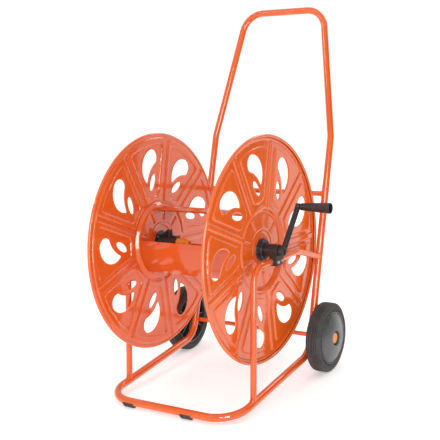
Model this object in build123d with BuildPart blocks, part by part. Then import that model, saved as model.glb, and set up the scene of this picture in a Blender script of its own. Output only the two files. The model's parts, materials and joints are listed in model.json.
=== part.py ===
"""Garden hose reel cart: bent-tube frame, two spoked discs on a sheet drum, crank and two wheels.

Design frame, in millimetres: +X to the crank side, -Y to the front bar, +Z up. While it is designed,
x = 0 is the middle plane, y = 0 is the reel's axis and z = 0 is the floor. Every piece is written
with the centre of the whole cart's footprint moved to the origin.
"""
import os
from math import atan2, cos, degrees, radians, sin

from build123d import *

# ---- driving dimensions -------------------------------------------------------------------------
AXIS_Z = 372.8            # height of the reel's axis
DISC_R = 285.0            # radius over the rolled rim
WEB_X = 160.8             # outer face of a disc's flat web
DISH_X = 152.0            # outer face of the dished middle of a disc
SHEET = 1.2               # thickness of discs and drum sheets
DRUM_R = 94.0             # outer radius of the drum
SECTORS = 9               # sectors of a disc
SECTOR_START = 16.0       # angle of the first sector's middle, from +Y towards +Z

TUBE_R = 9.8              # base tube, outer radius
TUBE_WALL = 1.5
HOOP_R = 9.2              # handle tube, outer radius
SUPPORT_R = 8.0           # bearing support tubes
CROSS_R = 7.0             # cross tube between the uprights
AXLE_R = 6.0
RUNNING = 0.06            # radial clearance of every running fit

RAIL_X = 187.0            # middle of a side rail
RAIL_FRONT = (-230.7, 15.7)      # (y, z) of the front bar
RAIL_REAR = (174.8, 51.8)        # (y, z) where rail and upright lines meet
SEAM = (185.0, 314.7, 495.6)     # top end of an upright
KINK = (184.6, 351.6, 612.6)     # handle legs turn inwards here
TOP = (122.0, 460.0, 955.4)      # corner of the handle's top
FRONT_BEND = 75.0
REAR_BEND = 60.0
PLUG = 45.0                      # length of hoop inside an upright

SUPPORT_X = 187.2
SUPPORT_FOOT = (-131.5, 24.5)
SUPPORT_CORNER = (-100.0, 352.0)
SUPPORT_KINK = (125.1, 343.1)
SUPPORT_END = (253.4, 299.3)

CROSS = (304.3, 462.7)           # (y, z) of the cross tube
AXLE = (203.2, 92.8)             # (y, z) of the axle
WHEEL_R = 92.8
WHEEL_RIM_R = 70.3
TYRE_IN = 203.9
TYRE_OUT = 244.0
HUB_OUT = 254.0
WHEEL_RIBS = 10
TREAD_GROOVES = 5

FOOT_WIDTH = 30.0
FOOT_LEFT_X = -111.0
FOOT_RIGHT_X = 60.0

COLLAR_R = 29.0                  # ribbed collar on each disc
COLLAR_FLANGE = 3.5              # thickness of its flange
COLLAR_END = 165.5
RIBBED_R = 25.0                  # over the ribs between flange and end
COLLAR_RIBS = 16
JOURNAL_R = 10.0
BEARING_R = 16.5
BEARING_IN = 166.5
BEARING_OUT = 204.0
SADDLE_IN = 184.0                # inner face of the saddle under a bearing
BOSS_R = 11.5
BOSS_OUT = 218.0
CRANK_ANGLE = 48.0               # from +Y towards +Z
CRANK_LENGTH = 129.0
CRANK_X = 213.5
GRIP_IN = 222.5
GRIP_OUT = 303.0

LEFT, RIGHT = -1, 1
SIDES = {LEFT: "left", RIGHT: "right"}
pieces = {}


def keep(builder, name):
    """Label a finished piece and remember it for writing."""
    builder.part.label = name
    pieces[name] = builder.part


def along(start, end, distance):
    """The point at a distance from start on the way to end."""
    step = (Vector(*end) - Vector(*start)).normalized()
    return Vector(*start) + step * distance


def add_tube(points, radii, outer, inner=0.0, mode=Mode.ADD):
    """Sweep a round tube along straight runs joined by tangent arcs."""
    with BuildLine() as path:
        if radii:
            FilletPolyline(*points, radius=radii)
        else:
            Line(*points)
    with BuildSketch(Plane(origin=path.line @ 0, z_dir=path.line % 0)) as section:
        Circle(outer)
        if inner:
            Circle(inner, mode=Mode.SUBTRACT)
    sweep(section.sketch, path=path.wire(), mode=mode)


def axial_plane(y, z, angle=90.0):
    """A plane through an axis along X: local x runs along it, local y away from it at an angle."""
    a = radians(angle)
    return Plane(origin=(0, y, z), x_dir=(1, 0, 0), z_dir=(0, -sin(a), cos(a)))


def cross_plane(x, y, z, side=RIGHT):
    """A plane square to X, seen from +X with Y to the right; its normal points to the given side."""
    if side == RIGHT:
        return Plane(origin=(x, y, z), x_dir=(0, 1, 0), z_dir=(1, 0, 0))
    return Plane(origin=(x, y, z), x_dir=(0, -1, 0), z_dir=(-1, 0, 0))


def ring(x, y, z, side, outer, inner, length, mode=Mode.ADD):
    """A ring or disc square to X that starts at x and grows towards the given side."""
    with BuildSketch(cross_plane(x, y, z, side)) as section:
        Circle(outer)
        if inner:
            Circle(inner, mode=Mode.SUBTRACT)
    extrude(section.sketch, amount=length, mode=mode)


def turned(profile, y, z, mode=Mode.ADD):
    """Revolve a profile of (x, radius) points about an axis along X."""
    with BuildSketch(axial_plane(y, z)) as section:
        with BuildLine():
            Polyline(*profile, close=True)
        make_face()
    revolve(section.sketch, axis=Axis((0, y, z), (1, 0, 0)), mode=mode)


def polar(y, z, radius, angle):
    """The (y, z) of a point at a radius and angle about an axis along X."""
    return y + radius * cos(radians(angle)), z + radius * sin(radians(angle))


# ---- frame tubes --------------------------------------------------------------------------------
rail_route = [
    (-SEAM[0], SEAM[1], SEAM[2]),
    (-RAIL_X, *RAIL_REAR),
    (-RAIL_X, *RAIL_FRONT),
    (RAIL_X, *RAIL_FRONT),
    (RAIL_X, *RAIL_REAR),
    SEAM,
]
rail_bends = [REAR_BEND, FRONT_BEND, FRONT_BEND, REAR_BEND]

with BuildPart() as base_solid:
    add_tube(rail_route, rail_bends, TUBE_R)

# the hoop's plugs are held by one screw each, driven from behind
SCREW_R = 1.6
screw_spot = along(SEAM, (RAIL_X, *RAIL_REAR), 0.5 * PLUG)
lean = (SEAM[1] - RAIL_REAR[0]) / (SEAM[2] - RAIL_REAR[1])
screw_planes = [
    Plane(origin=(side * screw_spot.X, screw_spot.Y, screw_spot.Z), z_dir=(0, 1, -lean))
    for side in SIDES
]


def screw_holes():
    """Cut the two holes for the handle's screws."""
    for plane in screw_planes:
        with BuildSketch(plane) as hole:
            Circle(SCREW_R)
        extrude(hole.sketch, amount=TUBE_R + 5, mode=Mode.SUBTRACT)


with BuildPart() as base_tube:
    add_tube(rail_route, rail_bends, TUBE_R, TUBE_R - TUBE_WALL)
    # shallow seats that the axle is welded into
    ring(-RAIL_X - 20, *AXLE, RIGHT, AXLE_R, 0, 2 * RAIL_X + 40, mode=Mode.SUBTRACT)
    screw_holes()
keep(base_tube, "base_tube")

PLUG_R = TUBE_R - TUBE_WALL
HOOP_BORE = PLUG_R - 1.4
with BuildPart() as handle_hoop:
    hoop_route = [
        (-SEAM[0], SEAM[1], SEAM[2]),
        (-KINK[0], KINK[1], KINK[2]),
        (-TOP[0], TOP[1], TOP[2]),
        TOP,
        KINK,
        SEAM,
    ]
    add_tube(hoop_route, [90.0, 60.0, 60.0, 90.0], HOOP_R, HOOP_BORE)
    for side in SIDES:
        seam = (side * SEAM[0], SEAM[1], SEAM[2])
        bend = (side * RAIL_X, *RAIL_REAR)
        add_tube([Vector(*seam), along(seam, bend, PLUG)], None, PLUG_R, HOOP_BORE)
    screw_holes()
keep(handle_hoop, "handle_hoop")

with BuildPart() as handle_screws:
    for plane in screw_planes:
        with BuildSketch(plane.offset(TUBE_R - 4.0)):
            Circle(SCREW_R)
        extrude(amount=4.0)
        with BuildSketch(plane.offset(TUBE_R)):
            Circle(4.0)
        extrude(amount=2.2)
keep(handle_screws, "handle_screws")

support_slope = (SUPPORT_KINK[1] - SUPPORT_CORNER[1]) / (SUPPORT_KINK[0] - SUPPORT_CORNER[0])
support_z_mid = SUPPORT_CORNER[1] - SUPPORT_CORNER[0] * support_slope
BEARING_SCREW_R = 2.0
BEARING_SCREW_Y = 9.0
BEARING_SCREW_Z = support_z_mid - 0.5

for side, word in SIDES.items():
    support_route = [
        (side * SUPPORT_X, *SUPPORT_FOOT),
        (side * SUPPORT_X, *SUPPORT_CORNER),
        (side * SUPPORT_X, *SUPPORT_KINK),
        (side * SUPPORT_X, *SUPPORT_END),
    ]
    with BuildPart() as support_tube:
        add_tube(support_route, [42.0, 60.0], SUPPORT_R, SUPPORT_R - TUBE_WALL)
        # both ends are coped to the tubes they are welded to
        add(base_solid.part, mode=Mode.SUBTRACT)
        # vent hole near the foot
        with BuildSketch(Plane(origin=(side * SUPPORT_X, -129.5, 38.0), z_dir=(0, -1, 0.09))):
            Circle(1.8)
        extrude(amount=SUPPORT_R + 2, mode=Mode.SUBTRACT)
        # holes for the bearing's two screws, in the outer wall only
        for y in (-BEARING_SCREW_Y, BEARING_SCREW_Y):
            hole_x = side * (SUPPORT_X + 2)
            ring(hole_x, y, BEARING_SCREW_Z, side, BEARING_SCREW_R, 0, 10, mode=Mode.SUBTRACT)
    keep(support_tube, f"{word}_support_tube")

with BuildPart() as cross_tube:
    ring(-RAIL_X, *CROSS, RIGHT, CROSS_R, CROSS_R - TUBE_WALL, 2 * RAIL_X)
    add(base_solid.part, mode=Mode.SUBTRACT)
keep(cross_tube, "cross_tube")

AXLE_END = 249.0
with BuildPart() as axle_rod:
    ring(-AXLE_END, *AXLE, RIGHT, AXLE_R, 0, 2 * AXLE_END)
    chamfer(axle_rod.edges().filter_by(GeomType.CIRCLE), 0.8)
keep(axle_rod, "axle_rod")

# ---- rubber feet under the front bar -------------------------------------------------------------
FOOT_WRAP = 2.4           # thickness of the wrap round the bar
FOOT_SOLE = 18.0          # depth of the flat sole
FOOT_LIP = 1.5            # how far the wrap reaches above the bar's middle
for x_middle, word in ((FOOT_LEFT_X, "left"), (FOOT_RIGHT_X, "right")):
    y_bar, z_bar = RAIL_FRONT
    with BuildPart() as foot_clip:
        with BuildSketch(cross_plane(x_middle - FOOT_WIDTH / 2, y_bar, z_bar)):
            Circle(TUBE_R + FOOT_WRAP)
            with Locations((0, -z_bar / 2)):
                Rectangle(FOOT_SOLE, z_bar)
            # open above, so that it snaps on from below
            with Locations((0, FOOT_LIP)):
                Rectangle(4 * TUBE_R, 2 * TUBE_R, align=(Align.CENTER, Align.MIN), mode=Mode.SUBTRACT)
        extrude(amount=FOOT_WIDTH)
        add(base_solid.part, mode=Mode.SUBTRACT)
    keep(foot_clip, f"{word}_foot_clip")

# ---- wheels --------------------------------------------------------------------------------------
for side, word in SIDES.items():
    with BuildPart() as tyre:
        with BuildSketch(axial_plane(*AXLE)):
            middle = side * (TYRE_IN + TYRE_OUT) / 2
            width = TYRE_OUT - TYRE_IN
            with Locations((middle, (WHEEL_R + WHEEL_RIM_R) / 2)):
                RectangleRounded(width, WHEEL_R - WHEEL_RIM_R, 7.0)
            with Locations((middle, WHEEL_RIM_R + 4.0)):
                Rectangle(width - 6.0, 8.0)
            with Locations((middle, WHEEL_R)):
                with GridLocations(5.4, 1, TREAD_GROOVES, 1):
                    Rectangle(1.6, 5.0, mode=Mode.SUBTRACT)
        revolve(axis=Axis((0, *AXLE), (1, 0, 0)))
    keep(tyre, f"{word}_tyre")

    with BuildPart() as wheel_disc:
        web = [
            (side * 206.0, 66.0),
            (side * 206.0, WHEEL_RIM_R),
            (side * 240.0, WHEEL_RIM_R),
            (side * 243.0, 68.0),
            (side * 249.5, 48.0),
            (side * 253.0, 32.0),
            (side * HUB_OUT, 22.5),
            (side * HUB_OUT, 19.2),
            (side * 244.0, 18.6),
            (side * 242.0, AXLE_R + RUNNING),
            (side * 199.5, AXLE_R + RUNNING),
            (side * 199.5, 10.5),
            (side * 238.5, 12.0),
            (side * 239.5, 23.5),
            (side * 249.5, 26.0),
            (side * 246.0, 46.0),
            (side * 238.0, 66.0),
        ]
        turned(web, *AXLE)
        for k in range(WHEEL_RIBS):
            rib_plane = axial_plane(*AXLE, angle=360.0 / WHEEL_RIBS * k)
            with BuildSketch(rib_plane):
                with BuildLine():
                    Polyline(
                        (side * 212.0, 10.0),
                        (side * 212.0, 66.5),
                        (side * 239.0, 66.5),
                        (side * 247.5, 46.0),
                        (side * 251.0, 27.0),
                        (side * 240.5, 22.0),
                        (side * 240.5, 10.0),
                        close=True,
                    )
                make_face()
            extrude(amount=1.3, both=True)
    keep(wheel_disc, f"{word}_wheel_disc")

    with BuildPart() as axle_washer:
        ring(side * 197.4, *AXLE, side, 12.0, AXLE_R, 1.6)
    keep(axle_washer, f"{word}_axle_washer")

    with BuildPart() as axle_cap:
        cap = [
            (side * 242.6, AXLE_R),
            (side * 242.6, 9.5),
            (side * 246.0, 9.5),
            (side * 246.0, 14.0),
            (side * 250.4, 14.0),
            (side * 250.4, 12.8),
            (side * 249.9, 12.2),
            (side * 249.9, 0.0),
            (side * AXLE_END, 0.0),
            (side * AXLE_END, AXLE_R),
        ]
        turned(cap, *AXLE)
    keep(axle_cap, f"{word}_axle_cap")

# ---- discs ---------------------------------------------------------------------------------------
RIM_ROLL = 4.0
DISH_R = 96.0
HUB_HOLE = 17.0
HUB_SCREW_CIRCLE = 20.5
RIVET_CIRCLE = 86.0
RIVET_SPREAD = 18.0
SHELL_ANGLES = (76.0, 196.0, 316.0)
SHELL_HALF = 29.0
CUT = 20.0                # reach of the openings' cut each way from the dished middle

for side, word in SIDES.items():
    # one sector's comma-shaped opening with the small lens beside it: x is radial, y along the rim,
    # towards +Z side on the right disc and the other way round on its mirror image, the left disc
    turn = side
    with BuildSketch() as openings:
        with BuildLine():
            tip_a = (166.5, -20.8 * turn)
            tip_b = (166.0, -13.8 * turn)
            head_top = (243.6, 10.5 * turn)
            head_end = (206.5, 30.3 * turn)
            ThreePointArc(tip_a, (209.5, -28.3 * turn), head_top)
            ThreePointArc(head_top, (230.0, 35.8 * turn), head_end)
            ThreePointArc(head_end, (192.0, 5.6 * turn), tip_b)
            ThreePointArc(tip_b, (163.3, -17.5 * turn), tip_a)
        make_face()
        with Locations((158.5, 5.9 * turn)):
            Ellipse(23.0, 9.2, rotation=32.0 * turn)

    with BuildPart() as disc:
        outer_face = [
            (DISH_X, HUB_HOLE),
            (DISH_X, DISH_R - 2),
            (WEB_X, DISH_R + 9),
            (WEB_X, DISC_R - RIM_ROLL),
        ]
        inner_face = [(x - SHEET, r) for x, r in reversed(outer_face)]
        turned([(side * x, r) for x, r in outer_face + inner_face], 0, AXIS_Z)
        # the rim is rolled outwards into a bead that stops short of closing
        with BuildSketch(axial_plane(0, AXIS_Z)):
            with Locations((side * (WEB_X - SHEET + RIM_ROLL), DISC_R - RIM_ROLL)):
                Circle(RIM_ROLL)
                Circle(RIM_ROLL - SHEET, mode=Mode.SUBTRACT)
                with Locations((side * RIM_ROLL * 0.75, -RIM_ROLL * 0.6)):
                    Rectangle(RIM_ROLL * 0.9, RIM_ROLL * 0.8, mode=Mode.SUBTRACT)
        revolve(axis=Axis((0, 0, AXIS_Z), (1, 0, 0)))
        with BuildSketch(cross_plane(side * DISH_X, 0, AXIS_Z)):
            with PolarLocations(0, SECTORS, start_angle=SECTOR_START):
                add(openings.sketch)
            with PolarLocations(HUB_SCREW_CIRCLE, 4, start_angle=45):
                Circle(2.1)
            for angle in SHELL_ANGLES:
                for shift in (-RIVET_SPREAD, RIVET_SPREAD):
                    with PolarLocations(RIVET_CIRCLE, 1, start_angle=angle + shift):
                        Circle(2.0)
        extrude(amount=CUT, both=True, mode=Mode.SUBTRACT)
    keep(disc, f"{word}_disc")

# ---- drum ----------------------------------------------------------------------------------------
SHELL_END = DISH_X - SHEET


def sector_face(outer, inner, start, size):
    """A flat ring sector about the local origin."""
    with BuildLine() as outline:
        a, b = radians(start), radians(start + size)
        CenterArc((0, 0), outer, start, size)
        CenterArc((0, 0), inner, start, size)
        Line((outer * cos(a), outer * sin(a)), (inner * cos(a), inner * sin(a)))
        Line((outer * cos(b), outer * sin(b)), (inner * cos(b), inner * sin(b)))
    make_face(outline.edges())


for number, middle in enumerate(SHELL_ANGLES, start=1):
    start = middle - SHELL_HALF
    size = 2 * SHELL_HALF
    with BuildPart() as drum_shell:
        with BuildSketch(cross_plane(-SHELL_END, 0, AXIS_Z)):
            sector_face(DRUM_R, DRUM_R - SHEET, start, size)
        extrude(amount=2 * SHELL_END)
        # both long edges are hemmed back on themselves
        for hem_start in (start, start + size - 5):
            with BuildSketch(cross_plane(-SHELL_END, 0, AXIS_Z)):
                sector_face(DRUM_R - SHEET, DRUM_R - 2 * SHEET, hem_start, 5)
            extrude(amount=2 * SHELL_END)
        # the ends are flanged inwards and riveted to the discs
        for side in SIDES:
            with BuildSketch(cross_plane(side * SHELL_END, 0, AXIS_Z)):
                sector_face(DRUM_R, DRUM_R - 16.0, start, size)
                for shift in (-RIVET_SPREAD, RIVET_SPREAD):
                    with PolarLocations(RIVET_CIRCLE, 1, start_angle=middle + shift):
                        Circle(2.0, mode=Mode.SUBTRACT)
            extrude(amount=-side * SHEET)
    keep(drum_shell, f"drum_shell_{number}")

for side, word in SIDES.items():
    with BuildPart() as drum_rivets:
        for angle in SHELL_ANGLES:
            for shift in (-RIVET_SPREAD, RIVET_SPREAD):
                y, z = polar(0, AXIS_Z, RIVET_CIRCLE, angle + shift)
                ring(side * (SHELL_END - SHEET - 1.2), y, z, side, 3.4, 0, 1.2)
                ring(side * (SHELL_END - SHEET), y, z, side, 2.0, 0, 2 * SHEET)
                ring(side * DISH_X, y, z, side, 3.8, 0, 1.3)
    keep(drum_rivets, f"{word}_drum_rivets")

# ---- hubs ----------------------------------------------------------------------------------------
SQUARE = 12.0             # driving square of the crank
WATERWAY_R = 6.0
SPIGOT_R = 11.0


def collar(side, bore):
    """The ribbed collar on a disc, its spigot through the disc and its running journal."""
    profile = [
        (side * DISH_X, bore),
        (side * DISH_X, COLLAR_R),
        (side * (DISH_X + COLLAR_FLANGE), COLLAR_R),
        (side * (DISH_X + COLLAR_FLANGE), RIBBED_R),
        (side * (COLLAR_END - 1.5), RIBBED_R),
        (side * COLLAR_END, RIBBED_R - 1.5),
        (side * COLLAR_END, JOURNAL_R),
        (side * (BEARING_OUT + 0.5), JOURNAL_R),
        (side * (BEARING_OUT + 0.5), bore),
    ]
    turned(profile, 0, AXIS_Z)
    ring(side * (DISH_X - 8.0), 0, AXIS_Z, side, HUB_HOLE - 0.2, bore, 8.0)
    # grooves that leave the ribs standing round the collar
    with BuildSketch(cross_plane(side * (DISH_X + COLLAR_FLANGE), 0, AXIS_Z, side)) as grooves:
        with PolarLocations(RIBBED_R, COLLAR_RIBS, start_angle=180 / COLLAR_RIBS):
            Rectangle(6.0, 4.2)
    extrude(grooves.sketch, amount=20, mode=Mode.SUBTRACT)
    with BuildSketch(cross_plane(side * DISH_X, 0, AXIS_Z, side)) as screw_holes:
        with PolarLocations(HUB_SCREW_CIRCLE, 4, start_angle=45):
            Circle(1.7)
    extrude(screw_holes.sketch, amount=7.5, mode=Mode.SUBTRACT)


with BuildPart() as crank_hub:
    collar(RIGHT, 2.2)
    with BuildSketch(cross_plane(BEARING_OUT + 0.5, 0, AXIS_Z)):
        Rectangle(SQUARE, SQUARE, rotation=CRANK_ANGLE)
        Circle(2.2, mode=Mode.SUBTRACT)
    extrude(amount=10.0)
keep(crank_hub, "crank_hub")

SWIVEL_R = 8.0            # journal that runs on into the inlet elbow
SEAL_SECTION = 1.1
SEAL_X = (-210.0, -217.0)
with BuildPart() as inlet_hub:
    collar(LEFT, WATERWAY_R)
    ring(-BEARING_OUT - 0.5, 0, AXIS_Z, LEFT, SWIVEL_R, WATERWAY_R - 1.0, 19.0)
    for x in SEAL_X:
        ring(x + 0.8, 0, AXIS_Z, LEFT, SWIVEL_R + 1, SWIVEL_R - SEAL_SECTION, 1.6, mode=Mode.SUBTRACT)
    # spigot inside the drum that carries the outlet elbow
    ring(-DISH_X + 8.0, 0, AXIS_Z, RIGHT, SPIGOT_R, WATERWAY_R, 14.0)
keep(inlet_hub, "inlet_hub")

with BuildPart() as journal_seals:
    for x in SEAL_X:
        with BuildSketch(axial_plane(0, AXIS_Z)):
            with Locations((x, SWIVEL_R - SEAL_SECTION / 2)):
                Circle(SEAL_SECTION / 2)
        revolve(axis=Axis((0, 0, AXIS_Z), (1, 0, 0)))
keep(journal_seals, "journal_seals")

for side, name in ((RIGHT, "crank_hub_screws"), (LEFT, "inlet_hub_screws")):
    with BuildPart() as hub_screws:
        for k in range(4):
            y, z = polar(0, AXIS_Z, HUB_SCREW_CIRCLE, 45 + 90 * k)
            ring(side * (DISH_X - SHEET - 2.4), y, z, side, 3.4, 0, 2.4)
            ring(side * (DISH_X - SHEET), y, z, side, 1.7, 0, SHEET + 7.0)
    keep(hub_screws, name)

# ---- water outlet inside the drum ----------------------------------------------------------------
with BuildPart() as outlet_elbow:
    ring(-143.8, 0, AXIS_Z, RIGHT, 14.5, SPIGOT_R, 13.8)
    ring(-130.0, 0, AXIS_Z, RIGHT, 14.5, WATERWAY_R, 14.0)
    ring(-116.0, 0, AXIS_Z, RIGHT, 17.0, 8.5, 18.0)
    # blanked upper leg with its gusset towards the disc
    with BuildSketch(Plane.XY.offset(AXIS_Z + 12.0)):
        with Locations((-123.0, 0)):
            Circle(8.5)
    extrude(amount=19.0)
    with BuildSketch(axial_plane(0, AXIS_Z)):
        with BuildLine():
            Polyline(
                (-143.8, 13.0),
                (-143.8, 17.0),
                (-131.0, 30.0),
                (-123.0, 30.0),
                (-123.0, 13.0),
                close=True,
            )
        make_face()
    extrude(amount=3.0, both=True)
keep(outlet_elbow, "outlet_elbow")

with BuildPart() as hose_connector:
    connector = [
        (-108.0, 5.5),
        (-108.0, 8.5),
        (-98.0, 8.5),
        (-98.0, 11.5),
        (-71.0, 11.5),
        (-69.0, 8.2),
        (-60.0, 8.2),
        (-60.0, 5.5),
    ]
    turned(connector, 0, AXIS_Z)
    with BuildSketch(cross_plane(-98.0, 0, AXIS_Z)):
        with PolarLocations(12.2, 12):
            Rectangle(2.4, 2.6)
    extrude(amount=26.0, mode=Mode.SUBTRACT)
keep(hose_connector, "hose_connector")

# ---- bearings on the support tubes ---------------------------------------------------------------
for side, word in SIDES.items():
    with BuildPart() as bearing:
        ring(side * BEARING_IN, 0, AXIS_Z, side, BEARING_R, 0, BEARING_OUT - BEARING_IN)
        # saddle that sits on the tube, with a foot down its outer side
        with BuildSketch(cross_plane(side * SADDLE_IN, 0, 0, RIGHT)):
            with Locations((0, (AXIS_Z + support_z_mid) / 2)):
                Rectangle(2 * BEARING_R, AXIS_Z - support_z_mid)
        extrude(amount=side * (BEARING_OUT - SADDLE_IN))
        with BuildSketch(cross_plane(side * SUPPORT_X, 0, 0, RIGHT)):
            with Locations((0, support_z_mid)):
                RectangleRounded(2 * BEARING_R + 4, 20.0, 4.0)
        extrude(amount=side * (BEARING_OUT - SUPPORT_X))
        # the tube's channel and the journal's bore
        tube_ends = [
            (side * SUPPORT_X, -60.0, support_z_mid - 60.0 * support_slope),
            (side * SUPPORT_X, 60.0, support_z_mid + 60.0 * support_slope),
        ]
        add_tube(tube_ends, None, SUPPORT_R, mode=Mode.SUBTRACT)
        ring(side * (BEARING_IN - 1), 0, AXIS_Z, side, JOURNAL_R + RUNNING, 0, 60, mode=Mode.SUBTRACT)
        for y in (-BEARING_SCREW_Y, BEARING_SCREW_Y):
            ring(side * 190, y, BEARING_SCREW_Z, side, BEARING_SCREW_R, 0, 30, mode=Mode.SUBTRACT)
    keep(bearing, f"{word}_bearing")

    with BuildPart() as bearing_screws:
        for y in (-BEARING_SCREW_Y, BEARING_SCREW_Y):
            shank_x = side * (SUPPORT_X + SUPPORT_R - 2)
            ring(shank_x, y, BEARING_SCREW_Z, side, BEARING_SCREW_R, 0, BEARING_OUT - abs(shank_x))
            ring(side * BEARING_OUT, y, BEARING_SCREW_Z, side, 4.0, 0, 2.4)
    keep(bearing_screws, f"{word}_bearing_screws")

# ---- water inlet outside the left bearing ---------------------------------------------------------
INLET_X = -221.0
INLET_TOP = -206.2
NIPPLE_R = 10.4
NIPPLE_BORE = 5.0
SOCKET_R = 7.0
LEG = 34.0
with BuildPart() as inlet_elbow:
    ring(INLET_TOP, 0, AXIS_Z, LEFT, 13.0, 0, 27.0)
    with BuildSketch(Plane.XY.offset(AXIS_Z)):
        with Locations((INLET_X, 0)):
            Circle(11.5)
    extrude(amount=-LEG)
    fillet(inlet_elbow.faces().sort_by(Axis.X)[0].edges(), 3.0)
    ring(INLET_TOP + 1, 0, AXIS_Z, LEFT, SWIVEL_R + RUNNING, 0, 19.0, mode=Mode.SUBTRACT)
    with BuildSketch(Plane.XY.offset(AXIS_Z)):
        with Locations((INLET_X, 0)):
            Circle(SOCKET_R)
    extrude(amount=-LEG - 5, mode=Mode.SUBTRACT)
keep(inlet_elbow, "inlet_elbow")

with BuildPart() as inlet_nipple:
    with BuildSketch(Plane.XY.offset(AXIS_Z - LEG)):
        with Locations((INLET_X, 0)):
            RegularPolygon(13.5, 6)
            Circle(NIPPLE_BORE, mode=Mode.SUBTRACT)
    extrude(amount=-5.0)
    with BuildSketch(Plane.XY.offset(AXIS_Z - LEG - 5.0)):
        with Locations((INLET_X, 0)):
            Circle(NIPPLE_R)
            Circle(NIPPLE_BORE, mode=Mode.SUBTRACT)
    extrude(amount=-14.0)
    with BuildSketch(Plane.XY.offset(AXIS_Z - LEG)):
        with Locations((INLET_X, 0)):
            Circle(SOCKET_R)
            Circle(NIPPLE_BORE, mode=Mode.SUBTRACT)
    extrude(amount=12.0)
keep(inlet_nipple, "inlet_nipple")

# ---- crank ---------------------------------------------------------------------------------------
grip_y, grip_z = polar(0, AXIS_Z, CRANK_LENGTH, CRANK_ANGLE)
arm_plane = Plane(
    origin=(CRANK_X, 0, AXIS_Z),
    x_dir=(0, cos(radians(CRANK_ANGLE)), sin(radians(CRANK_ANGLE))),
    z_dir=(1, 0, 0),
)
with BuildPart() as crank_arm:
    ring(BEARING_OUT + 1.0, 0, AXIS_Z, RIGHT, BOSS_R, 0, BOSS_OUT - BEARING_OUT - 1.0)
    # I-section arm: a thin web between two edge ribs, wider at the boss
    with BuildSketch(arm_plane.offset(-1.5)):
        with BuildLine():
            Polyline((0, -7.5), (CRANK_LENGTH, -6.2), (CRANK_LENGTH, 6.2), (0, 7.5), close=True)
        make_face()
    extrude(amount=3.0)
    for edge in (-1, 1):
        with BuildSketch(arm_plane.offset(-4.5)):
            with BuildLine():
                Polyline(
                    (8, edge * 7.3),
                    (CRANK_LENGTH - 4, edge * 6.1),
                    (CRANK_LENGTH - 4, edge * 3.6),
                    (8, edge * 4.8),
                    close=True,
                )
            make_face()
        extrude(amount=9.0)
    ring(CRANK_X - 4.5, grip_y, grip_z, RIGHT, 8.0, 0, 12.0)
    with BuildSketch(cross_plane(BEARING_OUT, 0, AXIS_Z)):
        Rectangle(SQUARE, SQUARE, rotation=CRANK_ANGLE)
    extrude(amount=10.6, mode=Mode.SUBTRACT)
    ring(BEARING_OUT, 0, AXIS_Z, RIGHT, 2.2, 0, 30, mode=Mode.SUBTRACT)
    ring(CRANK_X - 10, grip_y, grip_z, RIGHT, 3.5, 0, 40, mode=Mode.SUBTRACT)
keep(crank_arm, "crank_arm")

with BuildPart() as crank_screw:
    ring(BEARING_OUT - 8.0, 0, AXIS_Z, RIGHT, 2.2, 0, BOSS_OUT - BEARING_OUT + 8.0)
    ring(BOSS_OUT, 0, AXIS_Z, RIGHT, 4.5, 0, 2.6)
keep(crank_screw, "crank_screw")

PIN_R = 3.5
with BuildPart() as grip_pin:
    ring(CRANK_X - 6.5, grip_y, grip_z, RIGHT, 5.5, 0, 2.0)
    ring(CRANK_X - 4.5, grip_y, grip_z, RIGHT, PIN_R, 0, GRIP_OUT - 24.0 - CRANK_X + 4.5)
    ring(GRIP_OUT - 24.0, grip_y, grip_z, RIGHT, 5.5, 0, 2.2)
keep(grip_pin, "grip_pin")

with BuildPart() as crank_grip:
    grip = [
        (GRIP_IN, PIN_R + RUNNING),
        (GRIP_IN, 8.4),
        (GRIP_IN + 1.5, 9.4),
        (GRIP_OUT - 1.0, 13.7),
        (GRIP_OUT, 13.2),
        (GRIP_OUT - 0.5, 11.6),
        (GRIP_OUT - 25.0, 10.2),
        (GRIP_OUT - 25.0, PIN_R + RUNNING),
    ]
    turned(grip, grip_y, grip_z)
keep(crank_grip, "crank_grip")

# ---- writing -------------------------------------------------------------------------------------
whole = Compound(children=[Part(piece.wrapped) for piece in pieces.values()]).bounding_box()
centre = whole.center()
to_origin = Location((-centre.X, -centre.Y, -whole.min.Z))
print("shift", -centre.X, -centre.Y, -whole.min.Z, "size", whole.size)
os.makedirs("parts", exist_ok=True)
for name, piece in pieces.items():
    placed = piece.moved(to_origin)
    placed.label = name
    export_step(placed, f"parts/{name}.step")
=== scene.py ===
import json
from math import atan2, ceil, cos, hypot, pi, radians, sin

import bmesh
import bpy
import numpy as np
from mathutils import Matrix, Vector
from mathutils.geometry import delaunay_2d_cdt
from mathutils.kdtree import KDTree


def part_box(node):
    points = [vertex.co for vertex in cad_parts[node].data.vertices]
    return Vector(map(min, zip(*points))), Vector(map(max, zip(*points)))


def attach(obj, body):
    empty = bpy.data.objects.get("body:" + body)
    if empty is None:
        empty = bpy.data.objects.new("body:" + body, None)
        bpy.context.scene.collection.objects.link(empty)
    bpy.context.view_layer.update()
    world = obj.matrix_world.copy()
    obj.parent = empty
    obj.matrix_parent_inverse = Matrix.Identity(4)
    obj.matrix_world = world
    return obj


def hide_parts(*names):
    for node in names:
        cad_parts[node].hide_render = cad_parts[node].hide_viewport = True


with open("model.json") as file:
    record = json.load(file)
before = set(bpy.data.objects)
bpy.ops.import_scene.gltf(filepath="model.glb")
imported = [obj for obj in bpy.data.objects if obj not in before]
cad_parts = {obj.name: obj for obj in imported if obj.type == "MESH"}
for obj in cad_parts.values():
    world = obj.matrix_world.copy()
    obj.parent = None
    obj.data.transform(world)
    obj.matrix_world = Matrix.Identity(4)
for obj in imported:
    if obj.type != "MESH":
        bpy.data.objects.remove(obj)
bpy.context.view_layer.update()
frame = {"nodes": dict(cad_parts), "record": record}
nodes = frame["nodes"]
scene = bpy.context.scene
MM = 0.001

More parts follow.
